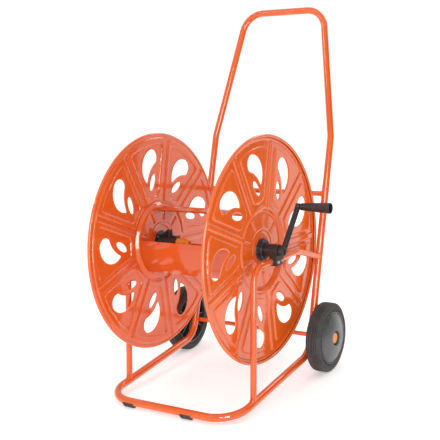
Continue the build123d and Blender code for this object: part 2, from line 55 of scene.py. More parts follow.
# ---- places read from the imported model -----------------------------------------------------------
left_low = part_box("left_disc")[0]
right_low, right_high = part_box("right_disc")
MIDDLE_X = (left_low.x + right_high.x) / 2
AXIS = Vector((MIDDLE_X, (right_low.y + right_high.y) / 2, (right_low.z + right_high.z) / 2))
axle_low, axle_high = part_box("axle_rod")
AXLE = Vector((MIDDLE_X, (axle_low.y + axle_high.y) / 2, (axle_low.z + axle_high.z) / 2))


# ---- materials -----------------------------------------------------------------------------------
class Nodes:
    """A node material with one Principled shader and a few short ways to add to it."""

    def __init__(self, name, color, roughness, metallic=0.0):
        self.material = bpy.data.materials.new(name)
        self.material.use_nodes = True
        self.tree = self.material.node_tree
        self.shader = self.tree.nodes["Principled BSDF"]
        self.shader.inputs["Base Color"].default_value = (*color, 1.0)
        self.shader.inputs["Roughness"].default_value = roughness
        self.shader.inputs["Metallic"].default_value = metallic
        self.place = self.add("ShaderNodeTexCoord").outputs["Object"]

    def add(self, kind, **settings):
        node = self.tree.nodes.new(kind)
        for key, value in settings.items():
            setattr(node, key, value)
        return node

    def link(self, source, target):
        self.tree.links.new(source, target)

    def noise(self, scale, detail=3.0, rough=0.5, stretch=None):
        """Noise in metres of the object's own frame, optionally stretched along axes."""
        node = self.add("ShaderNodeTexNoise")
        node.inputs["Scale"].default_value = scale
        node.inputs["Detail"].default_value = detail
        node.inputs["Roughness"].default_value = rough
        place = self.place
        if stretch:
            mapping = self.add("ShaderNodeMapping")
            mapping.inputs["Scale"].default_value = stretch
            self.link(place, mapping.inputs["Vector"])
            place = mapping.outputs["Vector"]
        self.link(place, node.inputs["Vector"])
        return node.outputs["Fac"]

    def spread(self, source, low, high, new_low, new_high):
        """Map a value from one range to another, clamped."""
        node = self.add("ShaderNodeMapRange")
        node.inputs["From Min"].default_value = low
        node.inputs["From Max"].default_value = high
        node.inputs["To Min"].default_value = new_low
        node.inputs["To Max"].default_value = new_high
        self.link(source, node.inputs["Value"])
        return node.outputs["Result"]

    def mix(self, factor, first, second):
        """Blend two colours, each a tuple or another node's output."""
        node = self.add("ShaderNodeMix", data_type="RGBA")
        self.link(factor, node.inputs[0])
        for socket, value in ((node.inputs[6], first), (node.inputs[7], second)):
            if isinstance(value, tuple):
                socket.default_value = (*value, 1.0)
            else:
                self.link(value, socket)
        return node.outputs[2]

    def bump(self, height, strength, distance, under=None):
        node = self.add("ShaderNodeBump")
        node.inputs["Strength"].default_value = strength
        node.inputs["Distance"].default_value = distance
        self.link(height, node.inputs["Height"])
        if under is not None:
            self.link(under, node.inputs["Normal"])
        return node.outputs["Normal"]

    def set(self, name, source):
        self.link(source, self.shader.inputs[name])


def paint(name, light, dark, peel, rolled=0.0, painted_edge_highlights=False):
    """Glossy sprayed enamel: slow colour drift, orange peel, a clear hard top, and if asked a painted
    highlight along sharp edges.
    """
    n = Nodes(name, light, 0.2)
    n.shader.inputs["IOR"].default_value = 1.45
    n.shader.inputs["Specular IOR Level"].default_value = 0.4
    n.shader.inputs["Coat Weight"].default_value = 0.75
    n.shader.inputs["Coat Roughness"].default_value = 0.03
    drift = n.spread(n.noise(9.0, 2.0), 0.35, 0.65, 0.0, 1.0)
    tone = n.mix(drift, light, dark)
    if painted_edge_highlights:
        # painted highlight: a paler orange laid over the sharp pressed edges, standing in for the glints
        # of light along them
        edge_highlight_mask = n.add("ShaderNodeNewGeometry").outputs["Pointiness"]
        tone = n.mix(n.spread(edge_highlight_mask, 0.512, 0.57, 0.0, 0.6), tone, EDGE_HIGHLIGHT_ORANGE)
    n.set("Base Color", tone)
    smudge = n.noise(38.0, 4.0)
    n.set("Roughness", n.spread(smudge, 0.3, 0.75, 0.09, 0.2))
    broad = n.bump(n.noise(26.0, 1.0), 0.2, peel)
    if rolled:
        # long shallow flats that rolling leaves along a curved sheet
        broad = n.bump(n.noise(34.0, 2.0, 0.5, (0.05, 1.0, 1.0)), 0.6, rolled, broad)
    fine = n.bump(n.noise(300.0, 1.0), 0.1, 0.00008, broad)
    n.set("Normal", fine)
    return n.material


def moulded(name, color, roughness, grain, second=None, grain_scale=900.0):
    """Moulded plastic or rubber: fine eroded grain, a little tone drift and rub marks."""
    n = Nodes(name, color, roughness)
    second = second or tuple(c * 1.35 + 0.004 for c in color)
    patch = n.spread(n.noise(28.0, 5.0, 0.6), 0.4, 0.72, 0.0, 1.0)
    n.set("Base Color", n.mix(patch, color, second))
    n.set("Roughness", n.spread(n.noise(75.0, 4.0), 0.3, 0.7, roughness - 0.07, roughness + 0.09))
    eroded = n.bump(n.noise(grain_scale, 2.0), 0.5, grain)
    n.set("Normal", n.bump(n.noise(60.0, 2.0), 0.12, 0.0008, eroded))
    return n.material


def turned_plastic(name, color, roughness):
    """Satin plastic from a turned mould: fine rings about the axle that draw a light into a streak."""
    n = Nodes(name, color, roughness)
    n.shader.inputs["Specular IOR Level"].default_value = 0.8
    n.set("Base Color", n.mix(n.spread(n.noise(22.0, 4.0), 0.4, 0.7, 0.0, 1.0), color,
                              tuple(c * 1.3 for c in color)))
    centred = n.add("ShaderNodeMapping", vector_type="POINT")
    centred.inputs["Location"].default_value = -AXLE
    n.link(n.place, centred.inputs["Vector"])
    rings = n.add("ShaderNodeTexWave", wave_type="RINGS", rings_direction="X")
    rings.inputs["Scale"].default_value = 260.0
    rings.inputs["Distortion"].default_value = 0.3
    n.link(centred.outputs["Vector"], rings.inputs["Vector"])
    grooves = n.bump(rings.outputs["Fac"], 0.55, 0.00012)
    n.set("Roughness", n.spread(n.noise(60.0, 4.0), 0.3, 0.7, roughness - 0.05, roughness + 0.08))
    n.set("Normal", n.bump(n.noise(1200.0, 2.0), 0.2, 0.00005, grooves))
    return n.material


def metal(name, color, second, roughness):
    """Plated or bare metal with a faint passivated drift and fine turning marks along X."""
    n = Nodes(name, color, roughness, 1.0)
    n.set("Base Color", n.mix(n.spread(n.noise(45.0, 3.0), 0.35, 0.65, 0.0, 1.0), color, second))
    n.set("Roughness", n.spread(n.noise(160.0, 3.0), 0.3, 0.7, roughness - 0.08, roughness + 0.12))
    n.set("Normal", n.bump(n.noise(300.0, 2.0, 0.5, (4.0, 1.0, 1.0)), 0.15, 0.0002))
    return n.material


ORANGE = (0.77, 0.118, 0.010)
ORANGE_DEEP = (0.73, 0.102, 0.008)
# the paler orange of the painted highlight along sharp pressed edges
EDGE_HIGHLIGHT_ORANGE = (0.95, 0.26, 0.09)
tube_paint = paint("painted_tube", ORANGE, ORANGE_DEEP, 0.0004)
sheet_paint = paint("painted_sheet", ORANGE, ORANGE_DEEP, 0.0011)
# the pressed discs' enamel carries the painted edge highlight
highlighted_pressed_paint = paint("pressed_sheet_with_painted_highlights", ORANGE, ORANGE_DEEP, 0.0011, painted_edge_highlights=True)
# a darker copy of the orange enamel for the drum shells: painted shade that tones down the light they
# catch
rolled_shaded_paint = paint("painted_rolled_sheet_shaded", (0.68, 0.092, 0.008), (0.62, 0.080, 0.006), 0.0008, 0.003)
black_plastic = moulded("black_plastic", (0.022, 0.018, 0.018), 0.33, 0.0001)
foot_rubber = moulded("foot_rubber", (0.035, 0.031, 0.032), 0.62, 0.00025)
seal_rubber = moulded("seal_rubber", (0.012, 0.012, 0.012), 0.5, 0.0001)
orange_plastic = moulded("orange_plastic", (0.86, 0.27, 0.035), 0.36, 0.00008, (0.90, 0.32, 0.05))
tyre_rubber = moulded("tyre_rubber", (0.040, 0.034, 0.032), 0.7, 0.0003, (0.075, 0.066, 0.060), 600.0)
wheel_plastic = turned_plastic("wheel_plastic", (0.050, 0.052, 0.055), 0.27)
zinc = metal("zinc_steel", (0.66, 0.65, 0.62), (0.74, 0.70, 0.58), 0.34)
brass = metal("brass", (0.80, 0.58, 0.27), (0.70, 0.47, 0.20), 0.3)
black_steel = metal("black_steel", (0.055, 0.052, 0.050), (0.085, 0.080, 0.075), 0.38)

SLOT_MATERIALS = {
    "painted_tube": tube_paint,
    "painted_sheet": sheet_paint,
    "black_plastic": black_plastic,
    "foot_rubber": foot_rubber,
    "seal_rubber": seal_rubber,
    "orange_plastic": orange_plastic,
    "tyre_rubber": tyre_rubber,
    "wheel_plastic": wheel_plastic,
    "zinc_steel": zinc,
    "brass": brass,
}


def settle(obj, material, sharp=35.0):
    """Give a mesh its one material and smooth its faces up to an angle."""
    obj.data.materials.clear()
    obj.data.materials.append(material)
    obj.data.polygons.foreach_set("use_smooth", [True] * len(obj.data.polygons))
    obj.data.set_sharp_from_angle(angle=radians(sharp))


for entry in frame["record"]["subparts"]:
    settle(nodes[entry["node"]], SLOT_MATERIALS[entry["material_slot"]])
settle(nodes["crank_screw"], black_steel)
# the drum shells take the darker enamel, a painted shade
for name in ("drum_shell_1", "drum_shell_2", "drum_shell_3"):
    settle(nodes[name], rolled_shaded_paint)

# ---- mesh helpers, in millimetres from the middle plane ------------------------------------------
def put(name, points, faces, body, material, replaced=(), sharp=40.0):
    """A new piece from points in metres, riding on a body and standing for CAD nodes."""
    mesh = bpy.data.meshes.new(name)
    mesh.from_pydata([tuple(p) for p in points], [], faces)
    mesh.validate()
    obj = bpy.data.objects.new(name, mesh)
    scene.collection.objects.link(obj)
    tidy = bmesh.new()
    tidy.from_mesh(mesh)
    bmesh.ops.remove_doubles(tidy, verts=tidy.verts, dist=0.00001)
    bmesh.ops.recalc_face_normals(tidy, faces=tidy.faces)
    tidy.to_mesh(mesh)
    tidy.free()
    settle(obj, material, sharp)
    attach(obj, body)
    if replaced:
        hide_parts(*replaced)
    return obj


def baked(obj):
    """Replace an object's mesh with what its modifiers make of it."""
    graph = bpy.context.evaluated_depsgraph_get()
    done = bpy.data.meshes.new_from_object(obj.evaluated_get(graph))
    obj.modifiers.clear()
    obj.data = done


def around(centre, x, radius, angle):
    """A point about an axis along X through centre; the angle runs from +Y towards +Z."""
    y, z = radius * MM * cos(angle), radius * MM * sin(angle)
    return Vector((MIDDLE_X + x * MM, centre.y + y, centre.z + z))


def lathe(centre, profile, segments, relief=None, closed=True):
    """Points and faces of a profile of (x, radius) turned about X, with an optional radial relief."""
    points, faces = [], []
    rows = len(profile)
    for k in range(segments):
        angle = 2 * pi * k / segments
        for x, radius in profile:
            lift = relief(x, radius, angle) if relief else 0.0
            points.append(around(centre, x, radius + lift, angle))
    for k in range(segments):
        here, there = k * rows, (k + 1) % segments * rows
        for j in range(rows if closed else rows - 1):
            n = (j + 1) % rows
            faces.append((here + j, here + n, there + n, there + j))
    return points, faces


def mirrored(profile, side):
    """A profile on the left (-1) or the right (1) of the middle plane."""
    return [(side * x, radius) for x, radius in profile]


# ---- pressed discs -------------------------------------------------------------------------------
WEB_X = 160.2             # middle of the sheet in a disc's flat web
SECTORS = 9
SECTOR = 2 * pi / SECTORS
FIRST_SECTOR = radians(16.0)
PRESSING = 3.0            # depth of the pressed grooves
RIB_TOP, RIB_FOOT = 5.3, 8.3
PANEL_SIDE, PANEL_WALL = 20.0, 2.9
PANEL_LOW, PANEL_HIGH, PANEL_CORNER = 122.6, 253.7, 9.0
RIB_END, RIB_FADE = 270.0, 3.2
RIM_START, RING_WALL = 273.6, 3.4
DISH_LOW, DISH_HIGH, DISH_DROP, DISH_EDGE = 94.0, 105.0, 8.8, 5.0
STUB_IN, STUB_OUT, STUB_HALF, STUB_WALL, STUB_HIGH = 58.0, 89.0, 5.0, 2.2, 2.4
RING_R, RING_HALF, RING_HIGH = 52.5, 2.4, 1.0
STEP_R, STEP_WALL, STEP_HIGH = 45.0, 2.6, 1.4
HUB_HOLE, WEB_END, SHEET = 17.0, 275.5, 1.2
RIM_STEPS, HUB_STEPS = 36, 8       # points along a sector's share of the rim and of the hub hole
ROLL_CENTRE, ROLL_R = (2.2, 281.0), 3.4
LIP, LIP_WIDE = 0.9, 2.6  # how far an opening's edge turns down, and over what width
FINE, COARSE = 1.5, 4     # spacing of the mesh where it bends, and how much wider it is where flat


def smooth(t):
    """An even step from 0 to 1 as t runs from 0 to 1."""
    t = np.clip(t, 0.0, 1.0)
    return t * t * (3 - 2 * t)


def wall_fields(radius, angle):
    """Fields that run from 0 at the foot of each pressed wall to 1 at its top."""
    spoke = radius * np.sin(SECTOR / 2 - np.abs(angle))
    short = [np.maximum(PANEL_CORNER - d, 0.0) for d in (
        spoke - PANEL_SIDE, radius - PANEL_LOW, PANEL_HIGH - radius)]
    inside = PANEL_CORNER - np.sqrt(sum(d * d for d in short))
    off_stubs = (radius < STUB_IN - 1.0) | (radius > STUB_OUT + 1.0)
    return [
        inside / PANEL_WALL + 1.0,
        (RIB_FOOT - spoke) / (RIB_FOOT - RIB_TOP),
        (radius - RIM_START) / RING_WALL + 1.0,
        (DISH_HIGH + DISH_EDGE - radius) / RING_WALL,
        (STUB_HALF - spoke) / STUB_WALL + 9.0 * off_stubs,
    ]


def pressed(radius, angle):
    """Height of the pressed sheet over its web, outwards, at a radius and angle from a sector's middle."""
    panel, rib, rim, middle, stub = [smooth(field) for field in wall_fields(radius, angle)]
    rib = rib * smooth((RIB_END - radius) / RIB_FADE)
    level = np.maximum.reduce([panel, rib, rim, middle])
    height = -PRESSING * (1.0 - level)
    height = height - DISH_DROP * smooth((DISH_HIGH - radius) / (DISH_HIGH - DISH_LOW))
    # short stiffening ribs and two rings in the dished middle
    stub = stub * smooth((radius - STUB_IN) / STUB_WALL) * smooth((STUB_OUT - radius) / STUB_WALL)
    ring = smooth(1.0 - np.abs(radius - RING_R) / RING_HALF)
    step = smooth((STEP_R - radius) / STEP_WALL)
    return height + STUB_HIGH * stub + RING_HIGH * ring + STEP_HIGH * step


def arc_through(a, b, c, step):
    """Points from a towards c on the circle through b, c left out."""
    (ax, ay), (bx, by), (cx, cy) = a, b, c
    d = 2 * (ax * (by - cy) + bx * (cy - ay) + cx * (ay - by))
    aa, bb, cc = ax * ax + ay * ay, bx * bx + by * by, cx * cx + cy * cy
    ux = (aa * (by - cy) + bb * (cy - ay) + cc * (ay - by)) / d
    uy = (aa * (cx - bx) + bb * (ax - cx) + cc * (bx - ax)) / d
    radius = hypot(ax - ux, ay - uy)
    start = atan2(ay - uy, ax - ux)
    turn_b = (atan2(by - uy, bx - ux) - start) % (2 * pi)
    turn_c = (atan2(cy - uy, cx - ux) - start) % (2 * pi)
    sweep = turn_c if turn_b < turn_c else turn_c - 2 * pi
    count = max(2, ceil(abs(sweep) * radius / step))
    return [
        (ux + radius * cos(start + sweep * k / count), uy + radius * sin(start + sweep * k / count))
        for k in range(count)
    ]


def opening_outlines(flip, step=2.0):
    """The comma-shaped opening of a sector and the small lens beside it, as closed outlines."""
    tip_a, tip_b = (166.5, -20.8), (166.0, -13.8)
    head_top, head_end = (243.6, 10.5), (206.5, 30.3)
    comma = arc_through(tip_a, (209.5, -28.3), head_top, step)
    comma += arc_through(head_top, (230.0, 35.8), head_end, step)
    comma += arc_through(head_end, (192.0, 5.6), tip_b, step)
    comma += arc_through(tip_b, (163.3, -17.5), tip_a, step)
    lens = []
    tilt = radians(32.0)
    for k in range(44):
        u, v = 23.0 * cos(2 * pi * k / 44), 9.2 * sin(2 * pi * k / 44)
        lens.append((158.5 + u * cos(tilt) - v * sin(tilt), 5.9 + u * sin(tilt) + v * cos(tilt)))
    return [np.array([(u, v * flip) for u, v in outline]) for outline in (comma, lens)]


def inside_outline(points, outline):
    """Which points lie inside a closed outline."""
    x, y = points[:, 0:1], points[:, 1:2]
    ax, ay = outline[:, 0], outline[:, 1]
    bx, by = np.roll(ax, -1), np.roll(ay, -1)
    spans = (ay > y) != (by > y)
    with np.errstate(divide="ignore", invalid="ignore"):
        cross_x = ax + (y - ay) * (bx - ax) / (by - ay)
    return (spans & (x < cross_x)).sum(axis=1) % 2 == 1


def outline_distance(points, outline):
    """Distance of each point from a closed outline."""
    a = outline[None, :, :]
    step = np.roll(outline, -1, axis=0)[None, :, :] - a
    t = ((points[:, None, :] - a) * step).sum(-1) / (step * step).sum(-1)
    near = a + np.clip(t, 0, 1)[..., None] * step
    return np.sqrt(((points[:, None, :] - near) ** 2).sum(-1)).min(axis=1)


def polar_of(points):
    """Radius and angle of flat points."""
    return np.hypot(points[:, 0], points[:, 1]), np.arctan2(points[:, 1], points[:, 0])


def sheet_height(points, outlines):
    """Pressed height with the openings' turned-down edges."""
    height = pressed(*polar_of(points))
    edge = np.min([outline_distance(points, outline) for outline in outlines], axis=0)
    return height - LIP * smooth(1.0 - edge / LIP_WIDE)


def drawn_to_walls(points):
    """Move points that lie on a pressed wall onto its foot, middle or top line."""
    points = points.copy()
    nudge = 0.01
    for k in range(len(wall_fields(*polar_of(points)))):
        value = wall_fields(*polar_of(points))[k]
        near = (value > -0.22) & (value < 1.22)
        level = np.clip(np.round(value * 2) / 2, 0.0, 1.0)
        beside = [wall_fields(*polar_of(points + step))[k] for step in ((nudge, 0.0), (0.0, nudge))]
        slope = np.stack([there - value for there in beside], axis=-1) / nudge
        move = slope * ((level - value) / np.maximum((slope ** 2).sum(-1), 1e-6))[:, None]
        move[~near | (np.hypot(move[:, 0], move[:, 1]) > 1.6)] = 0.0
        points += move
    return points


def thinned(points, gap):
    """The points with those closer than a gap to an earlier one left out."""
    tree = KDTree(len(points))
    for k, point in enumerate(points):
        tree.insert((*point, 0.0), k)
    tree.balance()
    kept = np.ones(len(points), bool)
    for k, point in enumerate(points):
        if kept[k]:
            for _, other, _ in tree.find_range((*point, 0.0), gap):
                if other > k:
                    kept[other] = False
    return points[kept]


def sector_border(half):
    """The outline of one sector of the sheet: out along a side, round the rim, back and round the hub."""
    radii = np.append(np.arange(HUB_HOLE, WEB_END - 1.0, 1.7), WEB_END)
    rim = [half * (2 * k / RIM_STEPS - 1) for k in range(1, RIM_STEPS)]
    hub = [half * (1 - 2 * k / HUB_STEPS) for k in range(1, HUB_STEPS)]
    border = [(r, -half) for r in radii]
    border += [(WEB_END, a) for a in rim]
    border += [(r, half) for r in radii[::-1]]
    border += [(HUB_HOLE, a) for a in hub]
    return np.array([(r * cos(a), r * sin(a)) for r, a in border])


def sector_grid(half, loops):
    """Points inside a sector's loops, close together where the sheet bends and wide apart elsewhere."""
    border, *outlines = loops
    pitch = FINE * 0.866
    rows = int(WEB_END / pitch) + 1
    cols = int(WEB_END * sin(half) / FINE) + 1
    i, j = np.meshgrid(np.arange(rows), np.arange(-cols, cols + 1), indexing="ij")
    grid = np.stack([i * pitch, (j + 0.5 * (i % 2)) * FINE], axis=-1).reshape(-1, 2)
    coarse = ((i % COARSE == 0) & (j % COARSE == 0)).reshape(-1)
    radius, angle = polar_of(grid)
    keep = (np.abs(angle) < half) & (radius > HUB_HOLE) & (radius < WEB_END)
    for outline in outlines:
        keep &= ~inside_outline(grid, outline)
    grid, coarse = grid[keep], coarse[keep]
    to_border = outline_distance(grid, border)
    to_opening = np.min([outline_distance(grid, outline) for outline in outlines], axis=0)
    clear = (to_border > 0.8) & (to_opening > 0.7)
    radius, angle = polar_of(grid)
    here = pressed(radius, angle)
    bends = to_opening < 4.5
    for dr, da in ((1.6, 0), (-1.6, 0), (0, 1.6), (0, -1.6)):
        beside = np.clip(radius + dr, HUB_HOLE, WEB_END), np.clip(angle + da / radius, -half, half)
        bends |= np.abs(pressed(*beside) - here) > 0.03
    return thinned(drawn_to_walls(grid[clear & (bends | coarse)]), 0.8)


def sector_mesh(flip):
    """One sector of the sheet as flat points, their triangles and their pressed heights."""
    half = SECTOR / 2
    outlines = opening_outlines(flip)
    loops = [sector_border(half)] + outlines
    grid = sector_grid(half, loops)
    points, edges = [], []
    for each in loops:
        base = len(points)
        points += [Vector(p) for p in each]
        edges += [(base + k, base + (k + 1) % len(each)) for k in range(len(each))]
    points += [Vector(p) for p in grid]
    flat, _, faces, *_ = delaunay_2d_cdt(points, edges, [], 1, 1e-5)
    flat = np.array([tuple(p) for p in flat])
    faces = np.array([f for f in faces if len(f) == 3])
    centres = flat[faces].mean(axis=1)
    solid = np.ones(len(faces), bool)
    for outline in outlines:
        solid &= ~inside_outline(centres, outline)
    return flat, faces[solid], sheet_height(flat, outlines)


def pressed_disc(name, node, side):
    """A whole disc: nine sectors of pressed sheet, the rolled rim, and the sheet's thickness."""
    flat, triangles, height = sector_mesh(side)
    radius, angle = polar_of(flat)
    points, faces = [], []
    for k in range(SECTORS):
        base = len(points)
        middle = FIRST_SECTOR + k * SECTOR
        for r, a, h in zip(radius, angle, height):
            points.append(around(AXIS, side * (WEB_X + h), r, middle + a))
        faces += [tuple(int(v) + base for v in face) for face in triangles]
    # the edge steps inwards and is then rolled outwards into a bead
    edge = [(0.0, WEB_END), (-0.15, 276.6), (-0.9, 278.0), (-1.2, 279.4), (-1.2, 281.0)]
    for k in range(1, 15):
        a = radians(180.0 - 250.0 * k / 14)
        edge.append((ROLL_CENTRE[0] + ROLL_R * cos(a), ROLL_CENTRE[1] + ROLL_R * sin(a)))
    count = RIM_STEPS * SECTORS
    base = len(points)
    for k in range(count):
        a = FIRST_SECTOR - SECTOR / 2 + 2 * pi * k / count
        points += [around(AXIS, side * (WEB_X + h), r, a) for h, r in edge]
    for k in range(count):
        here, there = base + k * len(edge), base + (k + 1) % count * len(edge)
        faces += [(here + j, here + j + 1, there + j + 1, there + j) for j in range(len(edge) - 1)]
    disc = put(name, points, faces, "reel", highlighted_pressed_paint, (node,))
    thick = disc.modifiers.new("thick", "SOLIDIFY")
    thick.thickness = SHEET * MM
    thick.offset = 0.0
    baked(disc)
    settle(disc, highlighted_pressed_paint, 50.0)


pressed_disc("left_pressed_disc", "left_disc", -1)
pressed_disc("right_pressed_disc", "right_disc", 1)

# ---- wheels --------------------------------------------------------------------------------------
TYRE_IN, TYRE_OUT, WHEEL_R = 203.9, 244.0, 92.8
WHEEL_RIBS, RIB_THICK = 10, 2.6


def tyre_profile():
    """Half a tyre section, from the bead over the shoulder to the tread's middle, then mirrored."""
    half = [(3.0, 70.3), (1.3, 70.8), (0.6, 71.6), (0.4, 73.6), (0.7, 74.2), (1.9, 74.5), (2.0, 75.3)]
    half += [(0.8, 75.7), (0.3, 76.5), (0.0, 79.0), (0.0, 81.6), (0.4, 83.0), (1.5, 83.4), (1.8, 84.2)]
    half += [(1.9, 86.2), (2.4, 87.0), (3.6, 87.5), (3.9, 88.6), (4.3, 90.2), (5.2, 91.5), (5.7, 92.0)]
    width = TYRE_OUT - TYRE_IN
    middle = width / 2
    pitch = (middle - 5.7) / 2.5
    for k in range(3):
        x = 5.7 + pitch * k
        top = WHEEL_R - 0.12 * (2 - k)
        end = min(x + pitch, middle)
        half += [(x + 0.9, top - 2.0), (x + 1.5, top - 2.0), (x + 2.0, top - 0.3), (x + 2.5, top)]
        if end < middle:
            half += [(end - 0.5, top), (end, top - 0.3)]
        else:
            half.append((middle, top))
    outer = [(TYRE_OUT - x, r) for x, r in half]
    inner = [(TYRE_IN + x, r) for x, r in half[:-1]]
    return outer + inner[::-1]


def wheel_face_profile():
    """The wheel's section: the rim's bead and groove, the domed face, the hub and the hollow behind."""
    outline = [(242.0, 70.2), (244.3, 70.0), (244.9, 69.4), (244.9, 67.9), (244.4, 67.4), (242.4, 67.1)]
    outline += [(242.2, 66.4), (242.6, 65.6), (244.4, 65.2), (245.0, 64.2), (246.6, 59.5), (248.4, 53.0)]
    outline += [(250.2, 45.5), (251.8, 38.0), (253.0, 31.0), (253.8, 24.0), (253.9, 21.0), (253.3, 19.6)]
    outline += [(251.8, 19.1), (244.8, 18.7), (243.4, 18.2), (242.6, 17.0), (242.3, 6.1), (199.5, 6.1)]
    outline += [(199.5, 10.5), (238.5, 12.0), (239.5, 23.5), (249.0, 26.0), (246.0, 46.0), (241.5, 62.0)]
    outline += [(238.0, 66.4), (206.8, 66.4), (206.0, 67.2), (206.0, 69.7), (206.8, 70.3), (239.0, 70.3)]
    return outline


def wheel_rib(side, angle):
    """A flat rib between the hub and the rim, behind the wheel's face."""
    outline = [(212.0, 10.0), (212.0, 67.0), (238.6, 67.0), (247.2, 46.0), (249.4, 27.0), (240.0, 22.0)]
    outline.append((240.0, 10.0))
    across = Vector((0.0, -sin(angle), cos(angle))) * RIB_THICK / 2 * MM
    points = [around(AXLE, side * x, r, angle) + across * sign for sign in (-1, 1) for x, r in outline]
    count = len(outline)
    faces = [tuple(range(count)), tuple(count + j for j in reversed(range(count)))]
    for j in range(count):
        n = (j + 1) % count
        faces.append((j, count + j, count + n, n))
    return points, faces


def joined(*pieces):
    """Several closed shapes as one list of points and one of faces."""
    points, faces = [], []
    for more, more_faces in pieces:
        faces += [tuple(i + len(points) for i in face) for face in more_faces]
        points += more
    return points, faces


for side, word in ((-1, "left"), (1, "right")):
    body = f"{word}_wheel"
    points, faces = lathe(AXLE, mirrored(tyre_profile(), side), 160)
    put(f"{word}_tyre_moulded", points, faces, body, tyre_rubber, (f"{word}_tyre",), 32.0)
    ribs = [wheel_rib(side, 2 * pi * k / WHEEL_RIBS) for k in range(WHEEL_RIBS)]
    points, faces = joined(lathe(AXLE, mirrored(wheel_face_profile(), side), 128), *ribs)
    replaced = (f"{word}_wheel_disc",)
    put(f"{word}_wheel_moulded", points, faces, body, wheel_plastic, replaced, 30.0)

# ---- hubs, grip and feet -------------------------------------------------------------------------
DISH_X, COLLAR_END, COLLAR_RIBS, BAY_DEPTH = 152.0, 165.5, 16, 3.0
JOURNAL_R, JOURNAL_END = 10.0, 204.5


def castellated(x, radius, angle):
    """Sixteen ribs stand round a collar between sunken bays."""
    if abs(x) < DISH_X + 3.9 or radius < 21.0:
        return 0.0
    turn = (angle * COLLAR_RIBS / (2 * pi)) % 1.0
    bay = smooth(1.0 - (abs(turn - 0.5) - 0.22) / 0.06)
    return -BAY_DEPTH * float(bay) * min(1.0, (radius - 21.0) / 2.5)


def collar_profile(bore):
    """The collar's section from its back, over the flange and the ribbed part, to the journal."""
    outside = [(DISH_X, bore), (DISH_X, 28.4), (DISH_X + 0.6, 29.0), (DISH_X + 2.8, 29.0)]
    outside += [(DISH_X + 3.5, 28.3), (DISH_X + 3.6, 26.0), (DISH_X + 4.2, 25.2), (DISH_X + 4.6, 25.0)]
    outside.append((DISH_X + 8.0, 25.0))
    outside += [(COLLAR_END - 1.6, 25.0), (COLLAR_END - 0.9, 24.7), (COLLAR_END, 23.6), (COLLAR_END, 20.8)]
    outside += [(COLLAR_END, 14.6), (COLLAR_END - 1.2, 14.0), (COLLAR_END - 1.2, JOURNAL_R)]
    return outside


def hub_piece(name, node, side, bore, tail, inner):
    """The collar, its journal, what runs on from the journal, and its spigot through the disc."""
    profile = collar_profile(bore) + [(JOURNAL_END - 0.5, JOURNAL_R), (JOURNAL_END, JOURNAL_R - 0.5)]
    profile += tail + [(JOURNAL_END, bore)]
    spigot = inner + [(DISH_X - 8.0, 16.4), (DISH_X - 7.6, 16.8), (DISH_X, 16.8), (DISH_X, bore)]
    points, faces = joined(
        lathe(AXIS, mirrored(profile, side), 192, castellated),
        lathe(AXIS, mirrored(spigot, side), 64),
    )
    return put(name, points, faces, "reel", black_plastic, (node,), 30.0)


SCREW_BORE, WATERWAY_R, SWIVEL_R, SWIVEL_END, SEAL_DEPTH = 2.2, 6.0, 8.0, 223.5, 1.1
hub_piece("crank_collar", "crank_hub", 1, SCREW_BORE, [], [(DISH_X - 8.0, SCREW_BORE)])

swivel = [(JOURNAL_END, SWIVEL_R)]
for seal_x in (210.0, 217.0):
    floor_r = SWIVEL_R - SEAL_DEPTH
    swivel += [(seal_x - 0.8, SWIVEL_R), (seal_x - 0.8, floor_r)]
    swivel += [(seal_x + 0.8, floor_r), (seal_x + 0.8, SWIVEL_R)]
swivel += [(SWIVEL_END, SWIVEL_R), (SWIVEL_END, WATERWAY_R - 1.0), (JOURNAL_END, WATERWAY_R - 1.0)]
carrier = [(130.0, WATERWAY_R), (130.0, 10.6), (130.4, 11.0), (DISH_X - 8.0, 11.0)]
hub_piece("inlet_collar", "inlet_hub", -1, WATERWAY_R, swivel, carrier)

GRIP_LOW, GRIP_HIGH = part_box("crank_grip")
GRIP = Vector((MIDDLE_X, (GRIP_LOW.y + GRIP_HIGH.y) / 2, (GRIP_LOW.z + GRIP_HIGH.z) / 2))


def grip_relief(x, radius, angle):
    """A long moulded frame on two opposite sides of the grip, with its field a little sunken."""
    if radius < 8.0 or x > 298.0:
        return 0.0
    lift = 0.0
    for middle in (radians(115.0), radians(295.0)):
        off = abs((angle - middle + pi) % (2 * pi) - pi) * radius
        inside = min(x - 236.0, 291.0 - x, 5.4 - off)
        field = float(smooth(inside / 0.8 + 1.0)) * -0.55
        lift += field + float(smooth(1.0 - abs(inside + 0.4) / 0.9)) * 0.5
    return min(lift, 0.25)


def grip_profile():
    """The flared grip's section, hollow at its open end."""
    outside = [(222.5, 3.6), (222.5, 7.6), (222.8, 8.3), (223.6, 8.9), (224.6, 9.2)]
    for k in range(1, 60):
        t = k / 60
        outside.append((224.6 + 76.6 * t, 9.2 + 4.3 * t))
    outside += [(301.4, 13.5), (302.4, 13.4), (303.0, 12.9), (303.0, 12.2), (302.5, 11.7)]
    return outside + [(279.0, 10.2), (278.0, 9.6), (278.0, 3.6)]


# the crank arm: two edge ribs with a ladder of cross ribs between them, and a boss at each end
ARM_X, ARM_TURN, ARM_START = 213.5, radians(48.0), 8.0
ARM_LENGTH = hypot(GRIP.y - AXIS.y, GRIP.z - AXIS.z) / MM
EDGE_HIGH, EDGE_WIDE, FIELD_HIGH, RUNG_HIGH = 4.5, 2.5, 1.5, 3.6
RUNG_PITCH, RUNG_WIDE = 6.2, 1.5


